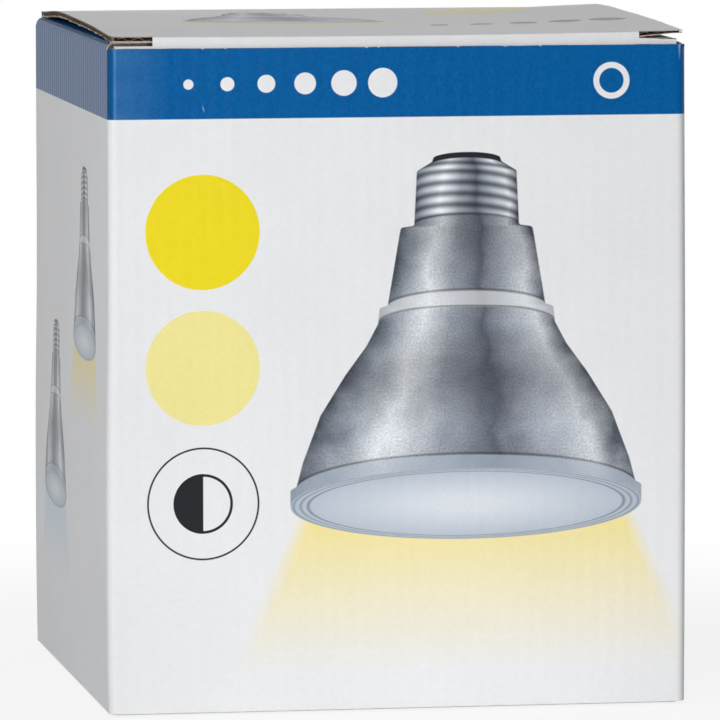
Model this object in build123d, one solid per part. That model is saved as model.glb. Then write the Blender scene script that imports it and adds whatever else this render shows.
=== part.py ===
from build123d import *
import os
from math import radians, sqrt, tan

# A retail carton for one reflector lamp, folded from fine-flute corrugated board.
# Millimetres. X runs to the right, Y from the front to the back, Z up from the ground.

# Board
board = 1.3  # thickness
crease_radius = 0.5  # inside radius of a fold

# Room inside, for a lamp 121 mm across
inside_width = 124.4  # between the side walls
inside_depth = 124.4  # between the front and back walls
side_height = 146.0  # ground to the top of the dust flaps, where the lid lies

# Corners and glued seam
corner_gap = 0.4  # ground to the foot of an upright corner fold
tab_length = 15.0  # glue tab inside the right wall, beyond its fold
tab_taper = 8.0  # height that the tab loses at either end towards its free edge

# Dust flaps on top of the side walls
dust_length = 48.0  # side wall's outer face to the flap's free end
dust_relief = 1.0  # cut back at either end of the fold
dust_step = 2.0  # step behind the shoulder that fills the slit
dust_front_taper = 12.0  # degrees
dust_back_taper = 5.0  # degrees
dust_corner = 8.0  # radius of the free corners
dust_clearance = 0.9  # behind the tongue, which swings past

# Bottom flaps
flap_gap = 0.6  # between the cut edges of neighbouring flaps
jog_lead = 1.2  # flat run of a side flap beside its fold
jog_run = 5.0  # run over which a side flap climbs onto the front and back flaps
side_flap_spacing = 18.0  # between the free ends of the two side flaps
side_flap_tip = 18.0  # width of a side flap's free end
hook_reach = 14.0  # how far a front or back flap hooks past the middle
hook_run = 9.0  # half the length of the slanted part of the seam

# Lid with tuck-in tongue
lid_side_relief = 1.1  # lid's side edge inside the side wall's outer face
lid_corner = 2.5  # radius of the front corners
lid_rear_taper = 6.0  # length over which the lid narrows to its crease
crease_relief = 0.4  # crease shorter than the back wall at either end
tuck_clearance = 0.3  # between the tongue and the front wall
tongue_length = 20.0  # lid's top to the tongue's free edge
tongue_relief = 0.8  # tongue's side edge inside the side wall
tongue_taper = 3.0  # width lost at either side down to the free edge
tongue_corner = 12.0  # radius of the free corners
slit_length = 8.9  # from the lid's side edge along the front fold
slit_setback = 0.6  # lid's cut edge behind the front fold's outer face
slit_height = 0.7  # lid's underside to the top of the tongue's shoulder
shoulder_margin = 1.0  # dust flap's shoulder ends this far outside the slit's end

# Sizes that follow
fold_radius = crease_radius + board
jog_radius = fold_radius + board
width = inside_width + 2 * board
depth = inside_depth + 2 * board
flat_x = width / 2 - fold_radius  # ends of the flat of the front and back walls
flat_y = depth / 2 - fold_radius  # ends of the flat of the side walls
seam_x = flat_x - board  # the back wall's last fold lies inside the right wall
lid_top = side_height + board
rim_height = side_height - board
crease_height = lid_top - fold_radius
post_height = side_height - fold_radius
jog_start = fold_radius + jog_lead
jog_end = jog_start + jog_run
side_flap_length = (width - side_flap_spacing) / 2

# The tongue leans back so that its free edge swings past the front wall
hinge_reach = inside_depth + board - tuck_clearance
lid_front = depth / 2 - hinge_reach
tip_height = lid_top - tongue_length
tip_y = depth / 2 - sqrt(hinge_reach**2 - (crease_height - tip_height) ** 2)
tongue_slope = (tip_y - lid_front) / tongue_length


def folded_board(points, radii):
    """Section of the board whose outer face runs through the points, with the inside on its left."""
    outer_face = FilletPolyline(*points, radius=radii)
    return make_face(offset(outer_face, board, side=Side.LEFT).edges())


def outline(*points):
    return make_face(Polyline(*points, close=True).edges())


def slab(face, low, high):
    """The plan outline as a prism between two heights."""
    return extrude(Pos(0, 0, low) * face, high - low)


def span_box(x_low, x_high, y_low, y_high, z_low, z_high):
    size = Box(x_high - x_low, y_high - y_low, z_high - z_low, align=(Align.MIN,) * 3)
    return Pos(x_low, y_low, z_low) * size


def dust_flap_outline():
    """Left dust flap in plan, from the side wall's outer face."""
    wall = -width / 2
    front = lid_front + board + dust_clearance
    shoulder = -(width / 2 - lid_side_relief - slit_length + shoulder_margin)
    stepped = shoulder + dust_step
    free = wall + dust_length
    free_front = front + dust_step + (free - stepped) * tan(radians(dust_front_taper))
    fold_end = flat_y - dust_relief
    free_back = fold_end - dust_length * tan(radians(dust_back_taper))
    plan = outline(
        (wall, -fold_end),
        (wall + fold_radius, front),
        (shoulder, front),
        (stepped, front + dust_step),
        (free, free_front),
        (free, free_back),
        (wall, fold_end),
    )
    free_corners = plan.vertices().group_by(Axis.X)[-1]
    return fillet(free_corners, dust_corner)


def mitre_slope():
    """Slant of the cut between a side flap and its neighbours, in depth for each millimetre of width."""
    return (flat_y - side_flap_tip / 2) / (side_flap_length - fold_radius)


def side_flap_outline():
    """Left bottom flap in plan, from the side wall's outer face."""
    wall = -width / 2
    fold = wall + fold_radius
    free = wall + side_flap_length
    fold_end = flat_y - flap_gap
    return outline(
        (wall, -fold_end),
        (fold, -fold_end),
        (free, -side_flap_tip / 2),
        (free, side_flap_tip / 2),
        (fold, fold_end),
        (wall, fold_end),
    )


def hooked_flap_outline(left_end):
    """Front bottom flap in plan. Its free edge is the slanted seam that it shares with the back flap."""
    wall = -depth / 2
    fold = wall + fold_radius
    half = width / 2 - jog_end - flap_gap
    mitre_end = fold + mitre_slope() * (flat_x - half)
    near = -hook_reach - flap_gap / 2
    far = hook_reach - flap_gap / 2
    return outline(
        (left_end, wall),
        (flat_x, wall),
        (flat_x, fold),
        (half, mitre_end),
        (half, near),
        (hook_run, near),
        (-hook_run, far),
        (-half, far),
        (-half, mitre_end),
        (left_end, fold),
    )


def left_wall():
    """Side wall with its dust flap above and its bottom flap below, as one folded strip."""
    wall = -width / 2
    section = folded_board(
        (
            (wall + dust_length, side_height),
            (wall, side_height),
            (wall, 0),
            (wall + jog_start, 0),
            (wall + jog_end, board),
            (wall + side_flap_length, board),
        ),
        (fold_radius, fold_radius, jog_radius, jog_radius),
    )
    strip = extrude(Plane.XZ * section, flat_y, both=True)
    kept = span_box(wall, wall + board, -flat_y, flat_y, fold_radius, post_height)
    kept += slab(dust_flap_outline(), post_height, side_height)
    kept += slab(side_flap_outline(), 0, fold_radius + 2 * board)
    return strip & kept


def front_wall(top, left_end):
    """Wall between two upright folds with its bottom flap, as one folded strip."""
    wall = -depth / 2
    section = folded_board(((wall, top), (wall, 0), (hook_reach + board, 0)), fold_radius)
    strip = extrude(Plane.YZ * section, flat_x, both=True)
    kept = span_box(left_end, flat_x, wall, wall + board, fold_radius, top)
    kept += slab(hooked_flap_outline(left_end), 0, fold_radius)
    return strip & kept


def corner_fold(x, y, turn):
    """Upright quarter-round fold about the given centre."""
    height = post_height - corner_gap
    fold = Cylinder(fold_radius, height, arc_size=90, align=None)
    fold -= Cylinder(crease_radius, height, arc_size=90, align=None)
    return Pos(x, y, corner_gap) * Rot(0, 0, turn) * fold


def glue_tab():
    """Tab of the back wall, glued inside the right wall."""
    tab = outline(
        (flat_y, fold_radius),
        (flat_y, post_height),
        (flat_y - tab_length, post_height - tab_taper),
        (flat_y - tab_length, fold_radius + tab_taper),
    )
    return extrude(Plane.YZ.offset(width / 2 - 2 * board) * tab, board)


def carton_body():
    side = left_wall()
    body = side + mirror(side, about=Plane.YZ)
    body += front_wall(rim_height, -flat_x)
    body += Rot(0, 0, 180) * front_wall(crease_height, -seam_x)
    body += corner_fold(seam_x, flat_y, 0)
    body += corner_fold(-flat_x, flat_y, 90)
    body += corner_fold(-flat_x, -flat_y, 180)
    body += corner_fold(flat_x, -flat_y, 270)
    return body + glue_tab()


def lid_outline():
    """Closing panel in plan, cut square where the slits part it from the tongue."""
    half = width / 2 - lid_side_relief
    crease_half = seam_x - crease_relief
    front = lid_front + slit_setback
    narrowing = flat_y - lid_rear_taper
    plan = outline(
        (-half, front),
        (half, front),
        (half, narrowing),
        (crease_half, flat_y),
        (crease_half, depth / 2),
        (-crease_half, depth / 2),
        (-crease_half, flat_y),
        (-half, narrowing),
    )
    front_corners = plan.vertices().group_by(Axis.Y)[0]
    return fillet(front_corners, lid_corner)


def tongue_outline():
    """Tongue from the front: the fold between the slits, two shoulders and a rounded free edge."""
    fold_half = width / 2 - lid_side_relief - slit_length
    half = inside_width / 2 - tongue_relief
    shoulder = side_height - slit_height
    tip_half = half - tongue_taper
    shape = outline(
        (-fold_half, lid_top),
        (fold_half, lid_top),
        (fold_half, shoulder),
        (half, shoulder),
        (tip_half, tip_height),
        (-tip_half, tip_height),
        (-half, shoulder),
        (-fold_half, shoulder),
    )
    free_corners = shape.vertices().group_by(Axis.Y)[0]
    return fillet(free_corners, tongue_corner)


def lid():
    """Closing panel from its crease on the back wall to the tongue behind the front wall."""
    past_tip = tip_height - board
    section = folded_board(
        (
            (depth / 2, crease_height - board),
            (depth / 2, lid_top),
            (lid_front, lid_top),
            (tip_y + tongue_slope * board, past_tip),
        ),
        fold_radius,
    )
    sheet = extrude(Plane.YZ * section, width / 2, both=True)
    crease_half = seam_x - crease_relief
    kept = slab(lid_outline(), side_height, lid_top)
    kept += span_box(-crease_half, crease_half, flat_y, depth / 2, crease_height, lid_top)
    kept += extrude(Plane.XZ.offset(-lid_front - tongue_length) * tongue_outline(), 2 * tongue_length)
    return sheet & kept


os.makedirs("parts", exist_ok=True)
export_step(carton_body(), "parts/carton_body.step")
export_step(lid(), "parts/lid.step")
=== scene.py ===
from math import atan, cos, pi, radians, sin, sqrt, tan

import bmesh
import bpy
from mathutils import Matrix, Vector


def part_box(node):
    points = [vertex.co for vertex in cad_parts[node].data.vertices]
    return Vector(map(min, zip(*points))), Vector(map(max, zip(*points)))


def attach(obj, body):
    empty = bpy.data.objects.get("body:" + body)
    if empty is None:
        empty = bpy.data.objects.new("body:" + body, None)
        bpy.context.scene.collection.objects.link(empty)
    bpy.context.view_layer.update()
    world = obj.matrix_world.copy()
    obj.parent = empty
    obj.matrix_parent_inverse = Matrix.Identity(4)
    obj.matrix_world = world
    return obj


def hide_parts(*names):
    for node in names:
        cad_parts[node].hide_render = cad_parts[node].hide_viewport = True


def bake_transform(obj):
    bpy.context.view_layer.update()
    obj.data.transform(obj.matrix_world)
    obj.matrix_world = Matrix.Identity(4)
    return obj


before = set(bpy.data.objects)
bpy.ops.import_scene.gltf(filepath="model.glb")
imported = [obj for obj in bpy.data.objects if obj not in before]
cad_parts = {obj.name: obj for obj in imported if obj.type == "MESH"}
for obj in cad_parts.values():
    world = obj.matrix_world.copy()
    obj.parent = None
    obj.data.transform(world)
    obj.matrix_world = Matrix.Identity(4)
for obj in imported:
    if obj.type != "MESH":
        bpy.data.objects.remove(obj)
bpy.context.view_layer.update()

# A lamp carton of fine-flute board. Blender works in metres, and sizes are written in millimetres.
mm = 0.001
close_by = 0.02 * mm  # places closer than this count as the same
margin = 0.1 * mm  # room past a place, so that a pick takes it in
cut_grip = 1e-7  # metres within which a cut and a weld take hold
weld_grip = 1e-6

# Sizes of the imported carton
carton_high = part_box("carton_body")[1]
lid_low, lid_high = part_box("lid")
half_width = carton_high.x
half_depth = carton_high.y
dust_top = carton_high.z
lid_top = lid_high.z
lid_half = lid_high.x
lid_front = lid_low.y
tongue_tip = lid_low.z
board = lid_top - dust_top

# Board: two liners with fluting between them
liner = 0.24 * mm
flute_paper = 0.16 * mm
flute_pitch = 3.6 * mm
flute_reach = 10 * mm  # how far the fluting is modelled behind a cut edge
flute_inset = 0.1 * mm
flute_middle = flute_reach / 2 + flute_inset  # middle of that strip, behind the edge
flute_steps = 12
flute_weld = 1e-5
fold_radius = 0.5 * mm + board
round_steps = 6  # of a fold, and of a rounded corner
support = 0.5 * mm  # flat strip beside a fold, which keeps its shading to itself
sheet_parts = 10  # columns that a wall or the lid is divided into
wall_rows = 12
lid_rows = 90
smooth_angle = radians(35)

# Material slots of the board, after the printed one
inside_slot = 1
cut_slot = 2
flute_slot = 3

# Walls, as in the part's source
flat_x = half_width - fold_radius
flat_y = half_depth - fold_radius
seam_x = flat_x - board
post_height = dust_top - fold_radius
rim_height = dust_top - board
crease_height = lid_top - fold_radius
crease_start = crease_height - 0.5 * mm
crease_drop = 0.3 * mm  # how far below the hinge the crease starts to bend
corner_foot = 0.4 * mm
tab_length = 15 * mm
tab_taper = 8 * mm

# Dust flaps
dust_end = half_width - 48 * mm
dust_fold_end = flat_y - 1 * mm
dust_front = lid_front + board + 0.9 * mm
dust_step = 2 * mm
dust_front_slope = tan(radians(12))
dust_back_slope = tan(radians(5))
dust_corner = 8 * mm

# Bottom flaps
flap_gap = 0.6 * mm
flap_lift = 0.05 * mm  # a side flap lies this far above the front and back flaps
side_fold_end = flat_y - flap_gap
jog_start = flat_x - 1.2 * mm
jog_end = jog_start - 5 * mm
side_flap_end = 9 * mm
side_flap_tip = 9 * mm
hook_half = jog_end - flap_gap
hook_reach = 14 * mm
hook_run = 9 * mm

# Lid and tongue
lid_narrowing = flat_y - 2 * mm
lid_rear = flat_y - 0.7 * mm
crease_half = seam_x - 0.4 * mm
rear_taper = (lid_half - crease_half) / (flat_y - lid_narrowing)
lid_rear_half = crease_half + (flat_y - lid_rear) * rear_taper
lid_corner = 2.5 * mm
slit_end = lid_half - 8.9 * mm
slit_edge = lid_front + 0.6 * mm
past_slit = slit_end + 1 * mm
dust_shoulder = slit_end + 1 * mm
hinge_reach = half_depth - lid_front
tip_y = half_depth - sqrt(hinge_reach**2 - (crease_height - tongue_tip) ** 2)
lean = atan((tip_y - lid_front) / (lid_top - tongue_tip))
fold_line = lid_front + fold_radius / tan((pi / 2 - lean) / 2)
lid_fold_round = 0.3  # radius of the outer liner at the lid's front fold, against the other folds
tongue_half = half_width - board - 0.3 * mm
tongue_taper = 3 * mm
tongue_corner = 12 * mm

# The lid's long edges, by layer: how far they are drawn back, how far they fray, seed of the fraying
outer_fray = (0, 0.07 * mm, 2)
inner_fray = (0.1 * mm, 0.3 * mm, 5)
core_fray = (0.8 * mm, 0.15 * mm, 8)
sound_end = 4 * mm  # length at the rear that isn't drawn back
panel_low = dust_top - 0.4 * mm  # below the panel and above the tongue's shoulders

# Rise of the used lid above flat, in millimetres: rows from front to back, columns from left to right
lid_rise = (
    (0.05, -0.1, -0.1, 0.05, 0.3),
    (0.9, 0.2, 0.0, 0.3, 1.2),
    (1.35, 0.4, 0.1, 0.5, 1.8),
    (1.4, 0.5, 0.1, 0.5, 2.0),
    (0.0, 0.0, 0.0, 0.0, 0.0),
)
right_edge_turn = radians(0.65)  # the right edge runs outwards to its front corner
crushed_corner = 0.45  # thickness left at that corner
crushed_width = 1 * mm
crushed_depth = 3 * mm
crush_fade = 8 * mm

# Lift of the tongue's left shoulder, and of the right one's inner and outer end
shoulder_lift = (-0.15 * mm, 0.45 * mm, 0.15 * mm)

# The right front fold: its width and depth against a round one, and its limits on the side wall
corner_stretch = (1.22, 2.6)
corner_front = -60 * mm
corner_top = post_height - 0.4 * mm

# Heights of the right dust flap's fold and the left wall's bottom fold, against a round one
sunk_fold = 0.6
foot_height = 0.4

# How far the left and the right wall bulge, up to what height, and how far the bulge fades out
side_bulge = {-1: (0.5 * mm, 50 * mm, 45 * mm), 1: (0.55 * mm, 70 * mm, 110 * mm)}
bulge_foot = 15 * mm  # height at which the push starts

# Small notches in the front wall's rim, in millimetres from the middle
rim_notches = (-42.8, -37.9, -6.9, -4.2, 13.2, 23.5, 31.3)
notch_half = 0.5 * mm
notch_depth = 0.25 * mm
rim_zone = 0.3 * mm  # what the notches take up below the rim
rim_parts = 60
rim_wander = 0.04 * mm

# Directions
right = (1, 0, 0)
back = (0, 1, 0)
up = (0, 0, 1)
quarter = pi / 2


# Modelling tools


def near(value, target):
    return abs(value - target) < close_by


def activate(piece):
    bpy.ops.object.select_all(action="DESELECT")
    bpy.context.view_layer.objects.active = piece
    piece.select_set(True)


def edit(piece):
    """Opens one piece in edit mode."""
    activate(piece)
    bpy.ops.object.mode_set(mode="EDIT")


def close():
    bpy.ops.object.mode_set(mode="OBJECT")


def pick(kind, test):
    """Selects the vertices, edges or faces of the open piece whose corners all pass the test."""
    bpy.ops.mesh.select_mode(type=kind)
    bpy.ops.mesh.select_all(action="DESELECT")
    mesh = bpy.context.edit_object.data
    shape = bmesh.from_edit_mesh(mesh)
    for part in {"VERT": shape.verts, "EDGE": shape.edges, "FACE": shape.faces}[kind]:
        corners = [part] if kind == "VERT" else part.verts
        part.select_set(all(test(corner.co) for corner in corners))
    bmesh.update_edit_mesh(mesh)


def draw(offset):
    """Draws the selected edge out into a new strip of board."""
    bpy.ops.mesh.extrude_region_move(TRANSFORM_OT_translate={"value": offset})


def bend(centre, axis, angle):
    """Bends the selected edge round a crease. Spin turns against the right-hand rule."""
    bpy.ops.mesh.spin(steps=round_steps, angle=-angle, center=centre, axis=axis)


def shift(test, offset):
    """Moves the vertices that pass the test."""
    pick("VERT", test)
    bpy.ops.transform.translate(value=offset)


def squeeze(value, centre):
    """Scales the selection about a centre."""
    bpy.ops.transform.resize(value=value, center_override=centre)


def fading(size):
    """Settings for a move that fades out round the selection."""
    return {
        "use_proportional_edit": True,
        "proportional_edit_falloff": "SMOOTH",
        "proportional_size": size,
    }


def cut(test, point, normal, drop=False):
    """Splits the faces that pass the test along a plane, and can drop what lies beyond it."""
    pick("FACE", test)
    bpy.ops.mesh.bisect(plane_co=point, plane_no=normal, clear_outer=drop, threshold=cut_grip)


def divide(places, axis):
    """Splits the whole sheet at places along one axis."""
    for place in places:
        bpy.ops.mesh.select_all(action="SELECT")
        point = [place * part for part in axis]
        bpy.ops.mesh.bisect(plane_co=point, plane_no=axis, threshold=cut_grip)


def spread(low, high, count):
    """Even places between two ends, without the ends."""
    return [low + (high - low) * k / count for k in range(1, count)]


def round_off(test, radius):
    """Rounds the sheet's corners that pass the test."""
    pick("VERT", test)
    bpy.ops.mesh.bevel(offset=radius, segments=round_steps, affect="VERTICES")


def face_outwards():
    bpy.ops.mesh.select_all(action="SELECT")
    bpy.ops.mesh.remove_doubles(threshold=weld_grip)
    bpy.ops.mesh.normals_make_consistent(inside=False)


def add_plane(name, place, rotation, size):
    bpy.ops.mesh.primitive_plane_add(size=1, location=place, rotation=rotation)
    piece = bpy.context.object
    piece.name = piece.data.name = name
    piece.scale = (*size, 1)
    bpy.ops.object.transform_apply(location=True, rotation=True, scale=True)
    return piece


def apply_modifier(piece, kind, **settings):
    activate(piece)
    modifier = piece.modifiers.new(kind.lower(), kind)
    for name, value in settings.items():
        setattr(modifier, name, value)
    bpy.ops.object.modifier_apply(modifier=modifier.name)


def copy_of(piece):
    activate(piece)
    bpy.ops.object.duplicate()
    return bpy.context.object


def join(piece, others):
    activate(piece)
    for other in others:
        other.select_set(True)
    bpy.ops.object.join()


# Body


def carton_walls():
    """Outer face of the walls, from the right wall round to the glue tab."""
    height = post_height - fold_radius
    middle = fold_radius + height / 2
    size = (height, 2 * flat_y)
    sheet = add_plane("carton_board", (half_width, 0, middle), (0, quarter, 0), size)
    edit(sheet)
    pick("EDGE", lambda p: near(p.y, -flat_y))
    bend((flat_x, -flat_y, 0), up, -quarter)
    draw((-2 * flat_x, 0, 0))
    bend((-flat_x, -flat_y, 0), up, -quarter)
    draw((0, 2 * flat_y, 0))
    bend((-flat_x, flat_y, 0), up, -quarter)
    draw((flat_x + seam_x, 0, 0))
    bend((seam_x, flat_y, 0), up, -quarter)
    draw((0, -tab_length, 0))
    squeeze((1, 1, 1 - 2 * tab_taper / height), (half_width, 0, middle))
    return sheet


def upright_ends():
    """Feet of the upright folds, the front wall's rim and the back wall's top."""

    def at_corner(p):
        return abs(p.x) > seam_x - support and abs(p.y) > flat_y - support

    pick("EDGE", lambda p: near(p.z, fold_radius) and at_corner(p))
    draw((0, 0, corner_foot - fold_radius))
    pick("EDGE", lambda p: near(p.z, post_height) and p.y < -flat_y + margin)
    draw((0, 0, rim_height - post_height))
    pick("EDGE", lambda p: near(p.z, post_height) and near(p.y, half_depth))
    draw((0, 0, crease_start - post_height))


def pick_fold(wall, height, end):
    """Cuts a side wall at both ends of a fold, and selects the edge to bend."""
    for place in (-end, end):
        cut(lambda p: near(p.x, wall), (0, place, 0), back)
    pick("EDGE", lambda p: near(p.x, wall) and near(p.z, height) and abs(p.y) < end + margin)


def dust_flap(side):
    """Flap on top of a side wall, with a shoulder at its front that shows in the lid's slit."""
    wall = side * half_width
    stepped = dust_shoulder - dust_step

    def on_flap(p):
        return side * p.x > 0 and p.z > post_height - support

    def at(p, reach):
        return near(p.z, dust_top) and near(side * p.x, reach)

    pick_fold(wall, post_height, dust_fold_end)
    bend((side * flat_x, 0, post_height), back, -side * quarter)
    front_cut = (-side * (dust_front + dust_fold_end), -fold_radius, 0)
    cut(on_flap, (wall, -dust_fold_end, 0), front_cut, drop=True)
    pick("EDGE", lambda p: at(p, flat_x))
    draw((side * (dust_shoulder - flat_x), 0, 0))
    draw((-side * dust_step, 0, 0))
    shift(lambda p: at(p, stepped) and p.y < 0, (0, dust_step, 0))
    pick("EDGE", lambda p: at(p, stepped))
    draw((side * (dust_end - stepped), 0, 0))
    shift(lambda p: at(p, dust_end) and p.y < 0, (0, (stepped - dust_end) * dust_front_slope, 0))
    back_cut = (-side * dust_back_slope, 1, 0)
    cut(on_flap, (wall, dust_fold_end, 0), back_cut, drop=True)
    round_off(lambda p: at(p, dust_end), dust_corner)


def side_flap(side):
    """Bottom flap of a side wall. It climbs onto the front and back flaps beside its fold."""
    wall = side * half_width
    slope = (side_fold_end - side_flap_tip) / (flat_x - side_flap_end)

    def draw_to(reach, was, lift=0.0):
        shrink = (side_flap_tip + (reach - side_flap_end) * slope) / (
            side_flap_tip + (was - side_flap_end) * slope
        )
        draw((side * (reach - was), 0, lift))
        squeeze((1, shrink, 1), (side * reach, 0, lift))

    pick_fold(wall, fold_radius, side_fold_end)
    bend((side * flat_x, 0, fold_radius), back, side * quarter)
    draw_to(jog_start, flat_x)
    draw_to(jog_end, jog_start, board + flap_lift)
    draw_to(side_flap_end, jog_end)


def hooked_flap(turn):
    """Bottom flap of the front wall, or of the back wall by half a turn. Their hooks share a seam."""
    reach = hook_reach + flap_gap / 2
    mitre = flat_y - (flat_x - hook_half)
    ends = {-1: -flat_x, 1: flat_x if turn > 0 else seam_x}

    def at(p, place):
        return near(p.z, 0) and near(turn * p.y, place)

    def past_mitre(p):
        return near(p.z, 0) and -mitre - support < turn * p.y < 0

    pick("EDGE", lambda p: near(p.z, fold_radius) and near(p.y, -turn * half_depth))
    bend((0, -turn * flat_y, fold_radius), right, turn * quarter)
    draw((0, turn * (flat_y - mitre), 0))
    for end, place in ends.items():
        shift(lambda p: at(p, -mitre) and end * p.x > 0, (end * hook_half - place, 0, 0))
    pick("EDGE", lambda p: at(p, -mitre))
    draw((0, turn * (mitre - reach), 0))
    for end in (-hook_run, hook_run):
        cut(past_mitre, (end, 0, 0), right)
    pick("EDGE", lambda p: at(p, -reach) and turn * p.x < hook_run + margin)
    draw((0, turn * 2 * hook_reach, 0))
    cut(
        lambda p: near(p.z, 0) and abs(p.x) < hook_run + margin and turn * p.y > -reach - margin,
        (turn * hook_run, -turn * reach, 0),
        (turn * hook_reach, turn * hook_run, 0),
        drop=True,
    )


def carton_sheet():
    """Outer face of the whole body, cut and folded from one sheet."""
    sheet = carton_walls()
    for side in (-1, 1):
        dust_flap(side)
        side_flap(side)
    upright_ends()
    for turn in (-1, 1):
        hooked_flap(turn)
        pick("FACE", lambda p: near(p.z, 0))
        bpy.ops.mesh.hide(unselected=False)
    bpy.ops.mesh.reveal(select=False)
    face_outwards()
    columns = spread(-half_width, half_width, sheet_parts)
    divide([-flat_x + support, *columns, flat_x - support], right)
    divide(spread(-half_depth, half_depth, sheet_parts), back)
    divide([fold_radius + support, *spread(0, dust_top, wall_rows), post_height - support], up)
    wavy_rim()
    flatten_corner()
    sink_dust_fold()
    sharpen_foot()
    for side, sizes in side_bulge.items():
        bulge(side, *sizes)
    close()
    return sheet


def flatten_corner():
    """The right front fold turns sharply at the front and slowly at the side."""

    def on_fold(p):
        foot = p.z < fold_radius and p.y < -flat_y + margin
        upright = fold_radius - margin < p.z < corner_top
        return p.x > flat_x - margin and p.y < corner_front and (foot or upright)

    pick("VERT", on_fold)
    squeeze((*corner_stretch, 1), (flat_x, -half_depth, 0))


def sink_dust_fold():
    """The right dust flap's fold lies lower than its free end."""

    def on_fold(p):
        past_wall = p.x > flat_x - margin and p.z > post_height + margin
        return past_wall and p.y > -dust_fold_end - margin

    pick("VERT", on_fold)
    squeeze((1, 1, sunk_fold), (half_width, 0, post_height))


def sharpen_foot():
    """The left wall runs further down than a round fold would let it."""

    def on_fold(p):
        past_wall = p.x < -flat_x + margin and p.z < fold_radius + margin
        return past_wall and abs(p.y) < side_fold_end + margin

    pick("VERT", on_fold)
    squeeze((1, 1, foot_height), (-half_width, 0, 0))


def bulge(side, push, top, fade):
    """Pushes a side wall outwards, most of all in its lower half."""
    pick("VERT", lambda p: near(side * p.x, half_width) and bulge_foot < p.z < top)
    bpy.ops.transform.translate(value=(side * push, 0, 0), **fading(fade))


def wavy_rim():
    """The front wall's cut edge isn't quite straight, and has a few small notches."""

    def on_rim(p):
        return near(p.y, -half_depth) and p.z > post_height - margin

    def at_edge(p):
        return on_rim(p) and p.z > rim_height - rim_zone and abs(p.x) < flat_x - support

    places = spread(-flat_x, flat_x, rim_parts)
    for middle in rim_notches:
        places += [middle * mm - notch_half, middle * mm, middle * mm + notch_half]
    for place in places:
        cut(on_rim, (place, 0, 0), right)
    for middle in rim_notches:
        shift(lambda p: at_edge(p) and near(p.x, middle * mm), (0, 0, -notch_depth))
    pick("VERT", at_edge)
    bpy.ops.transform.vertex_random(offset=rim_wander, seed=4)


# Lid


def between_slits(p):
    return abs(p.x) < slit_end + margin


def lid_sheet():
    """Outer face of the closing panel, its front fold and its tongue."""
    panel = lid_narrowing - slit_edge
    middle = (lid_narrowing + slit_edge) / 2
    sheet = add_plane("lid_board", (0, middle, lid_top), (0, 0, 0), (2 * lid_half, panel))
    edit(sheet)
    pick("EDGE", lambda p: near(p.y, lid_narrowing))
    draw((0, lid_rear - lid_narrowing, 0))
    squeeze((lid_rear_half / lid_half, 1, 1), (0, lid_rear, lid_top))
    divide((-slit_end, slit_end), right)
    cut(between_slits, (0, fold_line, 0), back)
    pick("FACE", lambda p: between_slits(p) and p.y < fold_line + margin)
    bpy.ops.mesh.delete(type="FACE")
    round_off(lambda p: near(abs(p.x), lid_half) and near(p.y, slit_edge), lid_corner)
    pick("EDGE", lambda p: near(p.y, fold_line))
    bend((0, fold_line, crease_height), right, quarter + lean)
    tongue()
    face_outwards()
    divide(spread(-lid_half, lid_half, sheet_parts), right)
    divide([*spread(fold_line, lid_rear, lid_rows), fold_line + support, lid_rear - support], back)
    pick("VERT", lambda p: p.x > past_slit and p.y < lid_narrowing and p.z > dust_top)
    bpy.ops.transform.rotate(
        value=-right_edge_turn,
        orient_axis="Z",
        center_override=(lid_half, lid_narrowing, lid_top),
    )
    close()
    return sheet


def tongue():
    """Draws the tongue on from the bent edge, with a shoulder at either end."""
    top = crease_height - fold_radius * sin(lean)
    drop = top - tongue_tip
    draw((0, drop * tan(lean), -drop))
    for side in (-1, 1):
        pick("EDGE", lambda p: near(side * p.x, slit_end) and p.z < top + margin)
        draw((side * (tongue_half - slit_end), 0, 0))
        shift(
            lambda p: near(side * p.x, tongue_half) and near(p.z, tongue_tip),
            (-side * tongue_taper, 0, 0),
        )
    round_off(lambda p: near(p.z, tongue_tip) and abs(p.x) > past_slit, tongue_corner)
    left_lift, inner_lift, outer_lift = shoulder_lift
    shift(lambda p: p.x < -slit_end + margin and near(p.z, top), (0, 0, left_lift))
    shift(lambda p: p.x > tongue_half - margin and near(p.z, top), (0, 0, outer_lift))
    shift(lambda p: near(p.x, slit_end) and near(p.z, top), (0, 0, inner_lift))


def crease_sheet():
    """Outer face of the crease between the back wall and the lid."""
    height = crease_height - crease_start
    size = (2 * crease_half, height)
    middle = (0, half_depth, crease_start + height / 2)
    sheet = add_plane("lid_crease", middle, (-quarter, 0, 0), size)
    edit(sheet)
    pick("EDGE", lambda p: near(p.z, crease_height))
    bend((0, flat_y, crease_height), right, quarter)
    draw((0, lid_rear - flat_y, 0))
    squeeze((lid_rear_half / crease_half, 1, 1), (0, lid_rear, lid_top))
    shift(lambda p: near(p.z, crease_height), (0, 0, -crease_drop))
    face_outwards()
    divide(spread(-crease_half, crease_half, sheet_parts), right)
    close()
    return sheet


# Board of liners and fluting


def dress(piece, finishes):
    for finish in finishes:
        piece.data.materials.append(finish)


def paint(piece, slot):
    for face in piece.data.polygons:
        face.material_index = slot


def keep_slot(piece, slot):
    """Drops all faces but those of one material slot."""
    edit(piece)
    bpy.ops.mesh.select_all(action="DESELECT")
    piece.active_material_index = slot
    bpy.ops.object.material_slot_select()
    bpy.ops.mesh.select_all(action="INVERT")
    bpy.ops.mesh.delete(type="FACE")
    close()


def thicken(piece, thickness, depth, **slots):
    """Gives a sheet its thickness, starting at a depth below its outer face."""
    apply_modifier(
        piece,
        "SOLIDIFY",
        thickness=thickness,
        offset=-1 - 2 * depth / thickness,
        use_even_offset=True,
        **slots,
    )


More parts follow.
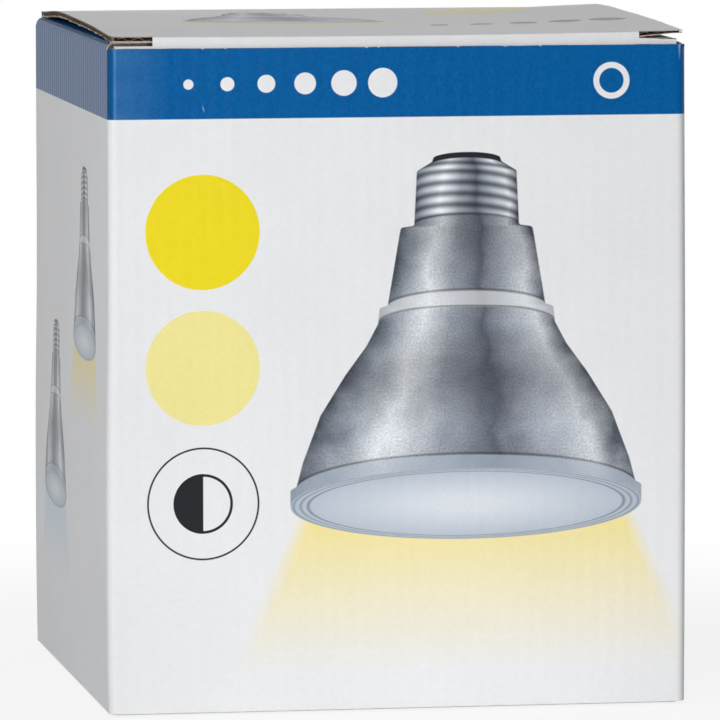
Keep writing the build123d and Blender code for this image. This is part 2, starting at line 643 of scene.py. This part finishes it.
def layered(sheet, finishes, open_edge, rim_slot):
    """Turns a sheet into board: two liners, closed by a brown edge where no flute ends show."""
    dress(sheet, finishes)
    inside = copy_of(sheet)
    edge = copy_of(sheet)
    thicken(sheet, liner, 0, material_offset=inside_slot, material_offset_rim=rim_slot)
    paint(inside, inside_slot)
    thicken(inside, liner, board - liner, material_offset_rim=cut_slot - inside_slot)
    thicken(edge, board - 2 * liner, liner, material_offset_rim=flute_slot)
    keep_slot(edge, flute_slot)
    edit(edge)
    pick("FACE", open_edge)
    bpy.ops.mesh.delete(type="FACE")
    close()
    return [inside, edge]


def fluting(length, place, rotation):
    """A strip of fluting behind a cut edge: one flute, repeated side by side."""
    swing = (board - 2 * liner - flute_paper) / 2
    count = int(length / flute_pitch)
    bpy.ops.mesh.primitive_grid_add(x_subdivisions=flute_steps, y_subdivisions=1, size=1)
    strip = bpy.context.object
    strip.scale = (flute_pitch, flute_reach, 1)
    bpy.ops.object.transform_apply(scale=True)
    edit(strip)
    for step in range(flute_steps + 1):
        share = step / flute_steps
        across = flute_pitch * (share - 0.5)
        shift(lambda p: near(p.x, across), (0, 0, swing * sin(2 * pi * share)))
    close()
    apply_modifier(strip, "ARRAY", count=count, use_merge_vertices=True, merge_threshold=flute_weld)
    apply_modifier(strip, "SOLIDIFY", thickness=flute_paper, offset=0)
    edit(strip)
    bpy.ops.mesh.select_all(action="SELECT")
    bpy.ops.transform.translate(value=(-(count - 1) * flute_pitch / 2, 0, 0))
    close()
    strip.rotation_euler = rotation
    strip.location = place
    activate(strip)
    bpy.ops.object.transform_apply(location=True, rotation=True, scale=True)
    return strip


def carton_board(finishes):
    """The body, with flute ends at the front wall's rim and at the dust flaps' free ends."""
    sheet = carton_sheet()

    def open_edge(p):
        on_rim = p.y < -half_depth + board and p.z > rim_height - rim_zone and abs(p.x) < flat_x
        at_dust_end = near(abs(p.x), dust_end) and p.z > post_height
        return on_rim or at_dust_end

    layers = layered(sheet, finishes, open_edge, cut_slot)
    rim_place = (0, board / 2 - half_depth, rim_height - flute_middle - flute_inset)
    layers.append(fluting(2 * flat_x, rim_place, (quarter, 0, 0)))
    dust_length = 88 * mm
    dust_middle = 3 * mm
    for side in (-1, 1):
        place = (side * (dust_end + flute_middle), dust_middle, dust_top - board / 2)
        layers.append(fluting(dust_length, place, (0, 0, quarter)))
    return finish_board(sheet, layers)


def sharpen_fold(piece):
    """The lid's outer liner turns more sharply at the front fold than the board behind it."""

    def on_fold(p):
        at_slit = near(p.y, slit_edge) and p.z > lid_top - liner - margin
        rounded = p.y < fold_line - margin and p.z > crease_height + fold_radius / 3
        return between_slits(p) and rounded and not at_slit

    edit(piece)
    pick("VERT", on_fold)
    squeeze((1, lid_fold_round, lid_fold_round), (0, lid_front, lid_top))
    close()


def ragged(piece, recess, fray, seed):
    """Draws the lid's long cut edges back, and frays them."""
    edit(piece)
    for side in (-1, 1):
        shift(
            lambda p: side * p.x > lid_half - close_by and p.y < lid_narrowing - sound_end,
            (-side * recess, 0, 0),
        )
    pick("VERT", lambda p: abs(p.x) > lid_half - recess - close_by and p.z > panel_low)
    bpy.ops.transform.vertex_random(offset=fray, seed=seed)
    close()


def crush_corner(piece):
    """Thins the lid's right front corner, with the tongue kept out of it."""

    def at_corner(p):
        beside = p.x > lid_half - crushed_width and p.y < slit_edge + crushed_depth
        return beside and p.z > rim_height

    edit(piece)
    pick("VERT", lambda p: p.z < dust_top - close_by and p.x < tongue_half + margin / 2)
    bpy.ops.mesh.hide(unselected=False)
    pick("VERT", at_corner)
    bpy.ops.transform.resize(
        value=(1, 1, crushed_corner),
        center_override=(lid_half, slit_edge, lid_top),
        **fading(crush_fade),
    )
    bpy.ops.mesh.reveal()
    close()


def warp(piece):
    """Curls the lid's panel with a lattice. What lies below the lattice stays."""
    low = dust_top - 0.6 * mm
    high = dust_top - 0.35 * mm
    size = (2 * lid_half, lid_rear - lid_front, high - low)
    bpy.ops.object.add(type="LATTICE", location=(0, (lid_rear + lid_front) / 2, (low + high) / 2))
    cage = bpy.context.object
    cage.scale = size
    grid = cage.data
    rows = len(lid_rise)
    grid.points_u = grid.points_v = rows
    grid.points_w = 2
    grid.interpolation_type_u = grid.interpolation_type_v = "KEY_CATMULL_ROM"
    grid.interpolation_type_w = "KEY_LINEAR"
    upper = list(grid.points)[rows * rows :]
    for place, point in enumerate(upper):
        row, column = divmod(place, rows)
        point.co_deform.z += lid_rise[row][column] * mm / size[2]
    apply_modifier(piece, "LATTICE", object=cage)
    activate(cage)
    bpy.ops.object.delete()


def lid_board(finishes):
    """The lid, with flute ends in its slits and along its tongue's free edge."""
    sheet = lid_sheet()
    slit_depth = 1.2 * mm

    def open_edge(p):
        at_slit = p.y < slit_edge + slit_depth and abs(p.x) > slit_end - margin and p.z > dust_top
        at_tip = p.z < tongue_tip + margin
        return at_slit or at_tip

    inside, edge = layered(sheet, finishes, open_edge, inside_slot)
    sharpen_fold(sheet)
    ragged(sheet, *outer_fray)
    ragged(inside, *inner_fray)
    ragged(edge, *core_fray)
    layers = [inside, edge]
    slit_length = lid_half - slit_end
    slit_middle = slit_end + 0.45 * slit_length
    for side in (-1, 1):
        place = (side * slit_middle, slit_edge + flute_middle, lid_top - board / 2)
        layers.append(fluting(slit_length, place, (0, 0, 0)))
    rise = flute_middle * cos(lean)
    tip_place = (0, tip_y + board / 2 - rise * tan(lean), tongue_tip + rise)
    layers.append(fluting(2 * (slit_end - tongue_corner), tip_place, (quarter + lean, 0, 0)))
    finish_board(sheet, layers)
    crush_corner(sheet)
    warp(sheet)
    return sheet


def lid_crease(finishes):
    """The crease as plain board, without fluting."""
    sheet = crease_sheet()
    dress(sheet, finishes)
    thicken(sheet, board, 0, material_offset=inside_slot, material_offset_rim=cut_slot)
    return finish_board(sheet, [])


def finish_board(sheet, layers):
    """Joins a sheet's layers into one piece. Strips without a finish are fluting."""
    for strip in layers:
        if not strip.data.materials:
            dress(strip, sheet.data.materials)
            paint(strip, flute_slot)
    join(sheet, layers)
    activate(sheet)
    bpy.ops.object.shade_smooth_by_angle(angle=smooth_angle)
    return sheet


# Shader tools

drawn_tree = None


def draw_in(tree):
    """Makes a node tree the one that nodes are added to."""
    global drawn_tree
    drawn_tree = tree


def link(start, end):
    drawn_tree.links.new(start, end)


def rgb(red, green, blue):
    """Colour as it is seen, from 0 to 255, as the linear values that a node holds."""
    shares = [part / 255 for part in (red, green, blue)]
    return (*[s / 12.92 if s < 0.04 else ((s + 0.055) / 1.055) ** 2.4 for s in shares], 1)


def node(kind, inputs=(), **settings):
    """Adds a shader node. Inputs are values or other nodes' sockets."""
    made = drawn_tree.nodes.new("ShaderNode" + kind)
    for name, value in settings.items():
        setattr(made, name, value)
    for key, value in dict(inputs).items():
        if isinstance(value, bpy.types.NodeSocket):
            link(value, made.inputs[key])
        else:
            made.inputs[key].default_value = value
    return made


def set_values(made, values):
    for key, value in values.items():
        made.inputs[key].default_value = value


def maths(operation, first, second=0.0):
    return node("Math", {0: first, 1: second}, operation=operation).outputs[0]


def times(first, second):
    return maths("MULTIPLY", first, second)


def plus(first, second):
    return maths("ADD", first, second)


def minus(first, second):
    return maths("SUBTRACT", first, second)


def ramp_up(value, low, high):
    """0 at low and before it, 1 at high and beyond it."""
    return node("MapRange", {"Value": value, "From Min": low, "From Max": high}).outputs[0]


def rescale(value, low, high, start=0.0):
    """Spreads a value that runs from its start to 1 over another range."""
    ends = {"Value": value, "From Min": start, "To Min": low, "To Max": high}
    return node("MapRange", ends).outputs[0]


def within(value, low, high, edge):
    """1 between low and high, with soft edges."""
    rise = ramp_up(value, low - edge, low + edge)
    fall = ramp_up(value, high + edge, high - edge)
    return times(rise, fall)


def mix(share, first, second, way="MIX"):
    made = node("Mix", {0: share, 6: first, 7: second}, data_type="RGBA", blend_type=way)
    return made.outputs[2]


def shade(colour, amount):
    """Makes a colour darker or lighter."""
    return mix(1.0, colour, amount, "MULTIPLY")


def split(vector, axes):
    parts = node("SeparateXYZ", {0: vector}).outputs
    return [parts[axis] for axis in axes]


def flat_point(across, above):
    return node("CombineXYZ", {0: across, 1: above}).outputs[0]


def length(vector):
    return node("VectorMath", {0: vector}, operation="LENGTH").outputs["Value"]


def noise(point, scale, detail=2.0, stretch=(1, 1, 1)):
    drawn = node("VectorMath", {0: point, 1: stretch}, operation="MULTIPLY").outputs[0]
    return node("TexNoise", {"Vector": drawn, "Scale": scale, "Detail": detail}).outputs[0]


def millimetres():
    """The place on the piece, in millimetres."""
    place = node("TexCoord").outputs["Object"]
    return node("VectorMath", {0: place, 3: 1 / mm}, operation="SCALE").outputs[0]


def new_group(name, inputs, outputs):
    """Starts a node group, and returns the sockets inside it."""
    group = bpy.data.node_groups.new(name, "ShaderNodeTree")
    draw_in(group)
    for label, kind in inputs.items():
        group.interface.new_socket(label, in_out="INPUT", socket_type="NodeSocket" + kind)
    for label, kind in outputs.items():
        group.interface.new_socket(label, in_out="OUTPUT", socket_type="NodeSocket" + kind)
    given = group.nodes.new("NodeGroupInput").outputs
    result = group.nodes.new("NodeGroupOutput").inputs
    return given, result


def place_group(name, inputs):
    return node("Group", inputs, node_tree=bpy.data.node_groups[name]).outputs


def new_material(name):
    material = bpy.data.materials.new(name)
    material.use_nodes = True
    draw_in(material.node_tree)
    return material, material.node_tree.nodes["Principled BSDF"]


# Print, in millimetres on the carton's faces

ink_edge = 0.08
paper_white = rgb(241, 242, 244)
warm_yellow = rgb(247, 226, 40)
pale_yellow = rgb(249, 238, 158)
warm_light = rgb(252, 233, 140)
cool_light = rgb(205, 224, 243)
soft_black = rgb(38, 40, 45)
lens_grey = rgb(178, 190, 206)
lens_white = rgb(224, 230, 237)
band_light = rgb(0, 103, 174)
band_dark = rgb(0, 83, 146)
# darker blue for the band on the left wall: painted shade of the less lit side
side_shade_blue = rgb(30, 54, 80)
# paler blue of scuffed ink, also used for the painted highlight and painted sheen at the left fold
worn_and_sheen_blue = rgb(140, 186, 222)
band_bottom = 129.5
left_bleed = -55.5  # where the band ends on the left dust flap
right_bleed = 61.2  # and on the right one
plain_relief = 0.014 * mm  # height of the flutes that show through
left_relief = 0.05 * mm  # and on the left wall
coat_specular = 0.07
paper_specular = 0.2

# Outline of the pictured lamp from its lens up: share of its height, share of its half width
lamp_outline = (
    *((0.0, 1.0), (0.045, 1.0), (0.055, 0.965), (0.12, 0.93), (0.25, 0.83), (0.36, 0.69)),
    *((0.44, 0.57), (0.5, 0.505), (0.545, 0.495), (0.55, 0.45), (0.74, 0.385), (0.765, 0.375)),
    *((0.77, 0.3), (0.92, 0.285), (0.945, 0.2), (1.0, 0.16)),
)
lens_tilt = 0.2  # height of the lens's ellipse to its width
ring_tilt = 0.097  # rise of a ring round the lamp, as a share of the lamp's height
rim_top = 0.048
collar_low = 0.5
collar_high = 0.548
cap_low = 0.77
cap_end = 0.935
lamp_end = 0.955
thread_pitch = 0.031
thread_lean = 0.006
line_width = 0.006  # of the dark lines round the lamp
line_edge = 0.003
part_edge = 0.004
outline_edge = 0.006
top_edge = 0.002
sweeps = 15.0  # light and dark along the metal
lens_rings = ((0.89, 0.905), (0.935, 0.945), (0.975, 0.985))
ring_edge = 0.008
facet = 1.5
light_length = 0.46
light_start = 0.94  # half width of the light at the lens
light_end = 1.35  # and at its far end

# Grey of polished metal from the lamp's left edge to its right
metal_stops = (
    (0.0, rgb(74, 80, 92)),
    (0.1, rgb(150, 157, 168)),
    (0.25, rgb(226, 230, 236)),
    (0.42, rgb(148, 154, 165)),
    (0.6, rgb(92, 98, 110)),
    (0.76, rgb(166, 172, 183)),
    (0.89, rgb(206, 211, 218)),
    (1.0, rgb(84, 90, 101)),
)


def disc_group():
    """Mask of a printed disc."""
    inputs = {"Point": "Vector", "Centre": "Vector", "Radius": "Float"}
    given, result = new_group("disc", inputs, {"Mask": "Float"})
    reach = node("VectorMath", {0: given["Point"], 1: given["Centre"]}, operation="DISTANCE")
    inside = minus(given["Radius"], reach.outputs["Value"])
    link(ramp_up(inside, -ink_edge, ink_edge), result["Mask"])


def metal_ramp(share):
    """Grey of the metal across the lamp."""
    ramp = node("ValToRGB", {0: share})
    stops = ramp.color_ramp.elements
    while len(stops) < len(metal_stops):
        stops.new(0.5)
    for stop, (place, colour) in zip(stops, metal_stops):
        stop.position = place
        stop.color = colour
    return ramp.outputs["Color"]


def outline_curve(above):
    """Half width of the pictured lamp at a height above its lens."""
    curve = node("FloatCurve", {"Value": above})
    points = curve.mapping.curves[0].points
    points[0].location = lamp_outline[0]
    points[1].location = lamp_outline[-1]
    for place in lamp_outline[1:-1]:
        points.new(*place)
    for point in points:
        point.handle_type = "VECTOR"
    curve.mapping.update()
    return curve.outputs[0]


def lamp_light(across, above):
    """Cone of light below the lens, fading downwards."""
    fade = ramp_up(above, -light_length, 0.02)
    below = ramp_up(above, part_edge, 0.0)
    spreading = rescale(ramp_up(above, 0.0, -light_length), light_start, light_end)
    inside = minus(spreading, maths("ABSOLUTE", across))
    return times(times(fade, ramp_up(inside, 0, 0.1)), below)


def lamp_metal(point, turn, height):
    """Polished metal with a fine sparkle, a pale collar and a threaded cap."""
    wander = rescale(noise(point, 0.12, 2.0), -0.09, 0.09)
    share = plus(times(turn, 0.5), plus(wander, 0.5))
    polished = metal_ramp(share)
    sparkle = ramp_up(noise(point, 2.2, 4.0), 0.25, 0.75)
    metal = shade(polished, rescale(sparkle, 0.74, 1.26))
    sweep = maths("SINE", times(height, sweeps))
    metal = shade(metal, rescale(sweep, 0.72, 1.12, -1.0))
    pitch = plus(height, times(turn, thread_lean))
    thread = maths("SINE", times(pitch, 2 * pi / thread_pitch))
    threaded = shade(polished, rescale(thread, 0.35, 1.35, -1.0))
    metal = mix(ramp_up(height, cap_low, cap_low + line_edge), metal, threaded)
    metal = mix(ramp_up(height, cap_end, cap_end + part_edge), metal, soft_black)
    pale = times(within(height, collar_low, collar_high, part_edge), 0.5)
    metal = mix(pale, metal, paper_white)
    rim = times(ramp_up(height, rim_top, rim_top - part_edge), 0.6)
    metal = mix(rim, metal, lens_grey)
    lines = 0.0
    for place in (rim_top, collar_low, collar_high, cap_low):
        lines = plus(lines, within(height, place, place + line_width, line_edge))
    return mix(times(lines, 0.65), metal, soft_black)


def lamp_lens(sideways, upwards, reach):
    """Glass with small facets and a ringed rim."""
    row = maths("SINE", times(upwards, 2 * pi / facet / lens_tilt))
    column = maths("SINE", times(sideways, 2 * pi / facet))
    checks = rescale(times(row, column), 0.84, 1.16, -1.0)
    glass = mix(ramp_up(reach, 0.2, 1.1), lens_white, lens_grey)
    glass = shade(glass, checks)
    rings = 0.0
    for low, high in lens_rings:
        rings = plus(rings, within(reach, low, high, ring_edge))
    return mix(times(rings, 0.6), glass, soft_black)


def lamp_group():
    """A plain reflector lamp, lens down, seen from a little below."""
    inputs = {"Point": "Vector", "Lens": "Vector", "Width": "Float", "Height": "Float"}
    outputs = {"Colour": "Color", "Shape": "Float", "Light": "Float"}
    given, result = new_group("lamp_figure", inputs, outputs)
    offset = node("VectorMath", {0: given["Point"], 1: given["Lens"]}, operation="SUBTRACT")
    sideways, upwards = split(offset.outputs[0], "XY")
    half = times(given["Width"], 0.5)
    across = maths("DIVIDE", sideways, half)
    above = maths("DIVIDE", upwards, given["Height"])
    lens_above = maths("DIVIDE", upwards, times(half, lens_tilt))
    reach = length(flat_point(across, lens_above))
    outline = outline_curve(above)
    turn = maths("DIVIDE", across, outline)
    facing = minus(1.0, times(turn, turn))
    facing = maths("SQRT", maths("MAXIMUM", facing, 0.0))
    height = minus(above, times(times(outline, facing), ring_tilt))
    inside = minus(outline, maths("ABSOLUTE", across))
    body = times(ramp_up(inside, 0, outline_edge), ramp_up(above, 0, top_edge / 2))
    body = times(body, ramp_up(height, lamp_end, lamp_end - top_edge))
    lens = ramp_up(reach, 1.0, 0.992)
    metal = lamp_metal(given["Point"], turn, height)
    colour = mix(lens, metal, lamp_lens(sideways, upwards, reach))
    link(colour, result["Colour"])
    link(maths("MAXIMUM", body, lens), result["Shape"])
    link(lamp_light(across, above), result["Light"])


def picture(colour, point, lens, width, height, light):
    """Prints a lamp and its light over a colour."""
    sizes = {"Point": point, "Lens": lens, "Width": width, "Height": height}
    lamp = place_group("lamp_figure", sizes)
    lit = mix(lamp["Light"], colour, light)
    return mix(lamp["Shape"], lit, lamp["Colour"])


def disc(point, centre, radius):
    sizes = {"Point": point, "Centre": (*centre, 0), "Radius": radius}
    return place_group("disc", sizes)["Mask"]


def ring(point, centre, radius, inner):
    return minus(disc(point, centre, radius), disc(point, centre, inner))


def front_print():
    """Lamp with its light at the right, three discs at the left, white marks for the band."""
    outputs = {"Colour": "Color", "White": "Float"}
    given, result = new_group("front_print", {"Point": "Vector"}, outputs)
    x, z = split(given["Point"], "XZ")
    point = flat_point(x, z)
    column = -43.0
    disc_radius = 12.5
    dial = (column, 46.0)
    dial_radius = 6.5
    mark_height = 137.0
    colour = picture(paper_white, point, (15.0, 45.0, 0.0), 78.0, 79.0, warm_light)
    colour = mix(disc(point, (column, 105.0), disc_radius), colour, warm_yellow)
    colour = mix(disc(point, (column, 75.5), disc_radius), colour, pale_yellow)
    colour = mix(ring(point, dial, 12.3, 11.9), colour, soft_black)
    left_of_dial = ramp_up(x, column + ink_edge, column - ink_edge)
    half = times(disc(point, dial, dial_radius), left_of_dial)
    half = plus(half, ring(point, dial, dial_radius, 5.9))
    colour = mix(half, colour, soft_black)
    marks = ring(point, (47.0, mark_height), 4.0, 2.7)
    for k in range(6):
        marks = plus(marks, disc(point, (-46.0 + 8.5 * k, mark_height), 1.1 + 0.42 * k))
    link(colour, result["Colour"])
    link(marks, result["White"])


def side_print():
    """Two small lamps, one warm and one cool."""
    given, result = new_group("side_print", {"Point": "Vector"}, {"Colour": "Color"})
    point = flat_point(*split(given["Point"], "YZ"))
    lamp_size = (38.0, 40.0)
    colour = picture(paper_white, point, (-24.0, 78.0, 0.0), *lamp_size, warm_light)
    colour = picture(colour, point, (25.0, 40.0, 0.0), *lamp_size, cool_light)
    link(colour, result["Colour"])


def fold_wear_and_sheen():
    """Ink scuffed away along the front wall's upright folds and in one small scratch, with a painted
    highlight and a painted sheen at the left fold.
    """
    given, result = new_group("fold_wear_and_sheen", {"Point": "Vector"}, {"Mask": "Float"})
    x, y, z = split(given["Point"], "XYZ")
    patchy = rescale(noise(given["Point"], 0.3, 3.0, (0.2, 0.2, 1.0)), 0.25, 0.95)
    # lighter line on the left fold: partly ink scuffed off the crease, partly a painted highlight
    # where the fold faces the light
    worn_highlight_streak = times(within(x, -62.15, -61.75, 0.25), 0.6)
    # painted sheen: the band lighter just right of the left fold, where the lamp's gloss would show
    painted_sheen = times(times(ramp_up(x, -50.0, -61.0), ramp_up(x, -62.0, -61.7)), 0.18)
    rubbed_and_sheen = times(maths("MAXIMUM", worn_highlight_streak, painted_sheen), patchy)
    crack = times(within(x, 61.95, 62.3, 0.15), ramp_up(z, 141.0, 144.5))
    slant = plus(x, times(z, 0.3))
    scratch = times(within(slant, -3.35, -3.15, 0.1), within(z, 131.2, 132.2, 0.3))
    wear_and_sheen = maths("MAXIMUM", rubbed_and_sheen, maths("MAXIMUM", crack, scratch))
    on_front = ramp_up(y, -62.2, -62.6)
    link(times(wear_and_sheen, on_front), result["Mask"])


def washboard_group():
    """Height of the flutes that show through the liner, in metres, and the paper's own grain."""
    inputs = {"Point": "Vector", "Across": "Float", "Relief": "Float"}
    given, result = new_group("washboard", inputs, {"Height": "Float"})
    point, across, relief = (given[name] for name in ("Point", "Across", "Relief"))
    streak_depth = 0.022 * mm
    grain_depth = 0.0022 * mm
    wave = times(maths("SINE", times(across, 2 * pi * mm / flute_pitch)), relief)
    along = times(split(point, "Z")[0], 0.02)
    streaks = times(noise(flat_point(across, along), 0.55, 3.0), streak_depth)
    grain = times(noise(point, 1.6, 4.0), grain_depth)
    link(plus(plus(wave, streaks), grain), result["Height"])


def mottle_group():
    """Slight unevenness of the coating: a tint close to white, and a gloss."""
    outputs = {"Tint": "Float", "Roughness": "Float"}
    given, result = new_group("mottle", {"Point": "Vector"}, outputs)
    broad = noise(given["Point"], 0.035, 2.0)
    fine = noise(given["Point"], 0.9, 4.0)
    both = plus(times(broad, 0.5), times(fine, 0.5))
    link(rescale(both, 0.92, 1.07), result["Tint"])
    link(rescale(fine, 0.3, 0.4), result["Roughness"])


def raise_bumps(shader, height):
    bump = node("Bump", {"Height": height, "Distance": 1.0})
    link(bump.outputs[0], shader.inputs["Normal"])


def coat(shader, point, across, relief, colour):
    """Coated paper over flutes: mottled colour, gloss and bump."""
    mottle = place_group("mottle", {"Point": point})
    flutes = place_group("washboard", {"Point": point, "Across": across, "Relief": relief})
    link(shade(colour, mottle["Tint"]), shader.inputs["Base Color"])
    link(mottle["Roughness"], shader.inputs["Roughness"])
    raise_bumps(shader, flutes["Height"])
    set_values(shader, {"Specular IOR Level": coat_specular})


def printed_board():
    """Outside of the body: white with a blue band round the top, and pictures on two walls."""
    material, shader = new_material("printed_board")
    point = millimetres()
    x, y, z = split(point, "XYZ")
    front = place_group("front_print", {"Point": point})
    side = place_group("side_print", {"Point": point})
    wall = 1.0 - half_width / mm
    on_front = ramp_up(y, wall, wall - 0.2)
    on_left = ramp_up(x, wall, wall - 0.2)
    colour = mix(on_left, mix(on_front, paper_white, front["Colour"]), side["Colour"])
    above = ramp_up(z, band_bottom - ink_edge, band_bottom + ink_edge)
    off_flaps = ramp_up(maths("ABSOLUTE", y), flat_y / mm - 0.6, flat_y / mm - 0.4)
    at_left = ramp_up(x, left_bleed + ink_edge, left_bleed - ink_edge)
    at_right = ramp_up(x, right_bleed - ink_edge, right_bleed + ink_edge)
    band = times(above, maths("MAXIMUM", off_flaps, maths("MAXIMUM", at_left, at_right)))
    uneven = ramp_up(noise(point, 2.4, 5.0, (1.0, 1.0, 0.7)), 0.25, 0.75)
    blue = mix(uneven, band_dark, band_light)
    # painted shade: the band's blue is darkened on the left wall
    blue = mix(times(on_left, 0.4), blue, side_shade_blue)
    # paler blue from scuffed ink, and the painted highlight and painted sheen at the left fold
    blue = mix(place_group("fold_wear_and_sheen", {"Point": point})["Mask"], blue, worn_and_sheen_blue)
    inked = mix(times(front["White"], on_front), mix(band, colour, blue), paper_white)
    flutes_run_up = ramp_up(z, dust_top / mm - 0.1, dust_top / mm - 0.5)
    across = plus(y, times(x, flutes_run_up))
    relief = rescale(on_left, plain_relief, left_relief)
    coat(shader, point, across, relief, inked)
    return material


def printed_lid():
    """Outside of the lid: white, with a lamp, a yellow disc and a row of grey dots."""
    material, shader = new_material("printed_lid")
    point = millimetres()
    x, y = split(point, "XY")
    plan = flat_point(x, y)
    colour = picture(paper_white, plan, (-16.0, -6.0, 0.0), 46.0, 48.0, pale_yellow)
    colour = mix(disc(plan, (34.0, 30.0), 12.0), colour, pale_yellow)
    dots = 0.0
    for k in range(5):
        dots = plus(dots, disc(plan, (16.0 + 9.5 * k, -24.0), 2.2 + 0.5 * k))
    colour = mix(times(dots, 0.8), colour, soft_black)
    coat(shader, point, x, plain_relief, colour)
    return material


def blank_board():
    """Unprinted coated paper, for the crease."""
    material, shader = new_material("blank_board")
    point = millimetres()
    coat(shader, point, split(point, "X")[0], plain_relief, paper_white)
    return material


def brown_paper(name, light, dark, roughness):
    """Raw recycled paper with short fibres."""
    material, shader = new_material(name)
    point = millimetres()
    cloud = noise(point, 0.12, 3.0)
    fibres = noise(point, 1.1, 5.0, (1.0, 1.0, 0.25))
    flecks = ramp_up(noise(point, 2.2, 2.0), 0.62, 0.7)
    share = plus(times(cloud, 0.4), times(fibres, 0.6))
    colour = mix(ramp_up(share, 0.3, 0.7), light, dark)
    colour = mix(times(flecks, 0.35), colour, dark)
    link(colour, shader.inputs["Base Color"])
    fibre_height = 0.03 * mm
    raise_bumps(shader, times(fibres, fibre_height))
    set_values(shader, {"Roughness": roughness, "Specular IOR Level": paper_specular})
    return material


# Stage

camera_place = (-0.27612, -1.6493, 0.22681)
camera_turn = (radians(90 - 5.33), radians(0.046), radians(-9.582))
camera_lens = 371.98
sensor_width = 36
white = (1, 1, 1, 1)
even_fill = 0.1  # strength of the world where it isn't seen
floor_grey = rgb(245, 245, 245)
floor_size = 12
floor_drop = 0.3 * mm

# Soft lights: azimuth and elevation in degrees, distance and size in metres, power in watts
soft_lights = {
    "key_light": (-19, 14, 0.95, (0.6, 0.6), 5.4),
    "left_light": (-75, 25, 1.0, (0.8, 0.8), 0.8),
    "back_light": (150, 14, 2.0, (0.6, 0.6), 12),
    "low_light": (6, -23, 0.156, (0.14, 0.02), 0.012),
}


def camera():
    bpy.ops.object.camera_add(location=camera_place, rotation=camera_turn)
    made = bpy.context.object
    made.data.sensor_width = sensor_width
    made.data.lens = camera_lens
    bpy.context.scene.camera = made


def soft_light(name, azimuth, elevation, distance, size, power):
    """Soft light aimed at the carton's middle."""
    turn = radians(azimuth)
    rise = radians(elevation)
    middle = Vector((0, 0, lid_top / 2))
    direction = Vector((sin(turn) * cos(rise), -cos(turn) * cos(rise), sin(rise)))
    bpy.ops.object.light_add(type="AREA", location=middle + direction * distance)
    made = bpy.context.object
    made.name = name
    made.rotation_euler = direction.to_track_quat("Z", "Y").to_euler()
    made.data.shape = "RECTANGLE"
    made.data.size, made.data.size_y = size
    made.data.energy = power


def seen_directly():
    """1 for the camera, for reflections and through clear matter, and 0 for the rest of the light."""
    path = node("LightPath").outputs
    seen = maths("MAXIMUM", path["Is Camera Ray"], path["Is Glossy Ray"])
    return maths("MAXIMUM", seen, path["Is Transmission Ray"])


def white_world():
    """White where it is seen, and a low even fill for the rest."""
    world = bpy.data.worlds.new("white_studio")
    bpy.context.scene.world = world
    world.use_nodes = True
    draw_in(world.node_tree)
    background = world.node_tree.nodes["Background"]
    set_values(background, {"Color": white})
    strength = rescale(seen_directly(), even_fill, 1.0)
    link(strength, background.inputs["Strength"])


def pale_floor():
    """Floor that runs out into white, dark under the carton and clear from below."""
    floor = add_plane("floor", (0, 0, -floor_drop), (0, 0, 0), (floor_size, floor_size))
    material, shader = new_material("pale_floor")
    set_values(shader, {"Base Color": floor_grey, "Roughness": 0.9, "Specular IOR Level": 0.0})
    place = node("TexCoord").outputs["Object"]
    reach = length(place)
    fade = node(
        "MapRange",
        {"Value": reach, "From Min": 0.08, "From Max": 0.3, "To Min": 0.85},
        interpolation_type="SMOOTHSTEP",
    )
    beside_carton = ramp_up(reach, 0.05, 0.06)
    share = times(times(fade.outputs[0], beside_carton), seen_directly())
    glow = node("Emission", {"Color": white, "Strength": 1.0})
    blend = node("MixShader", {0: share, 1: shader.outputs[0], 2: glow.outputs[0]})
    below = node("NewGeometry").outputs["Backfacing"]
    clear = node("BsdfTransparent")
    both = node("MixShader", {0: below, 1: blend.outputs[0], 2: clear.outputs[0]})
    link(both.outputs[0], material.node_tree.nodes["Material Output"].inputs["Surface"])
    dress(floor, [material])


camera()
for light_name, settings in soft_lights.items():
    soft_light(light_name, *settings)
white_world()
pale_floor()

disc_group()
lamp_group()
front_print()
side_print()
fold_wear_and_sheen()
washboard_group()
mottle_group()
kraft = brown_paper("brown_liner", rgb(180, 162, 146), rgb(146, 126, 110), 0.8)
cut_paper = brown_paper("cut_edge", rgb(228, 219, 211), rgb(186, 171, 158), 0.85)
# the fluting's brown is darkened past the paper's own colour: painted shade for the recessed core
# between the liners
flute_brown_and_shade = brown_paper("fluting", rgb(132, 116, 106), rgb(92, 78, 70), 0.85)

carton = carton_board([printed_board(), kraft, cut_paper, flute_brown_and_shade])
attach(carton, "carton")
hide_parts("carton_body")

lid = lid_board([printed_lid(), kraft, cut_paper, flute_brown_and_shade])
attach(lid, "lid")
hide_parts("lid")

crease = lid_crease([blank_board(), kraft, cut_paper])
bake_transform(crease)

bpy.context.scene.view_settings.view_transform = "Standard"
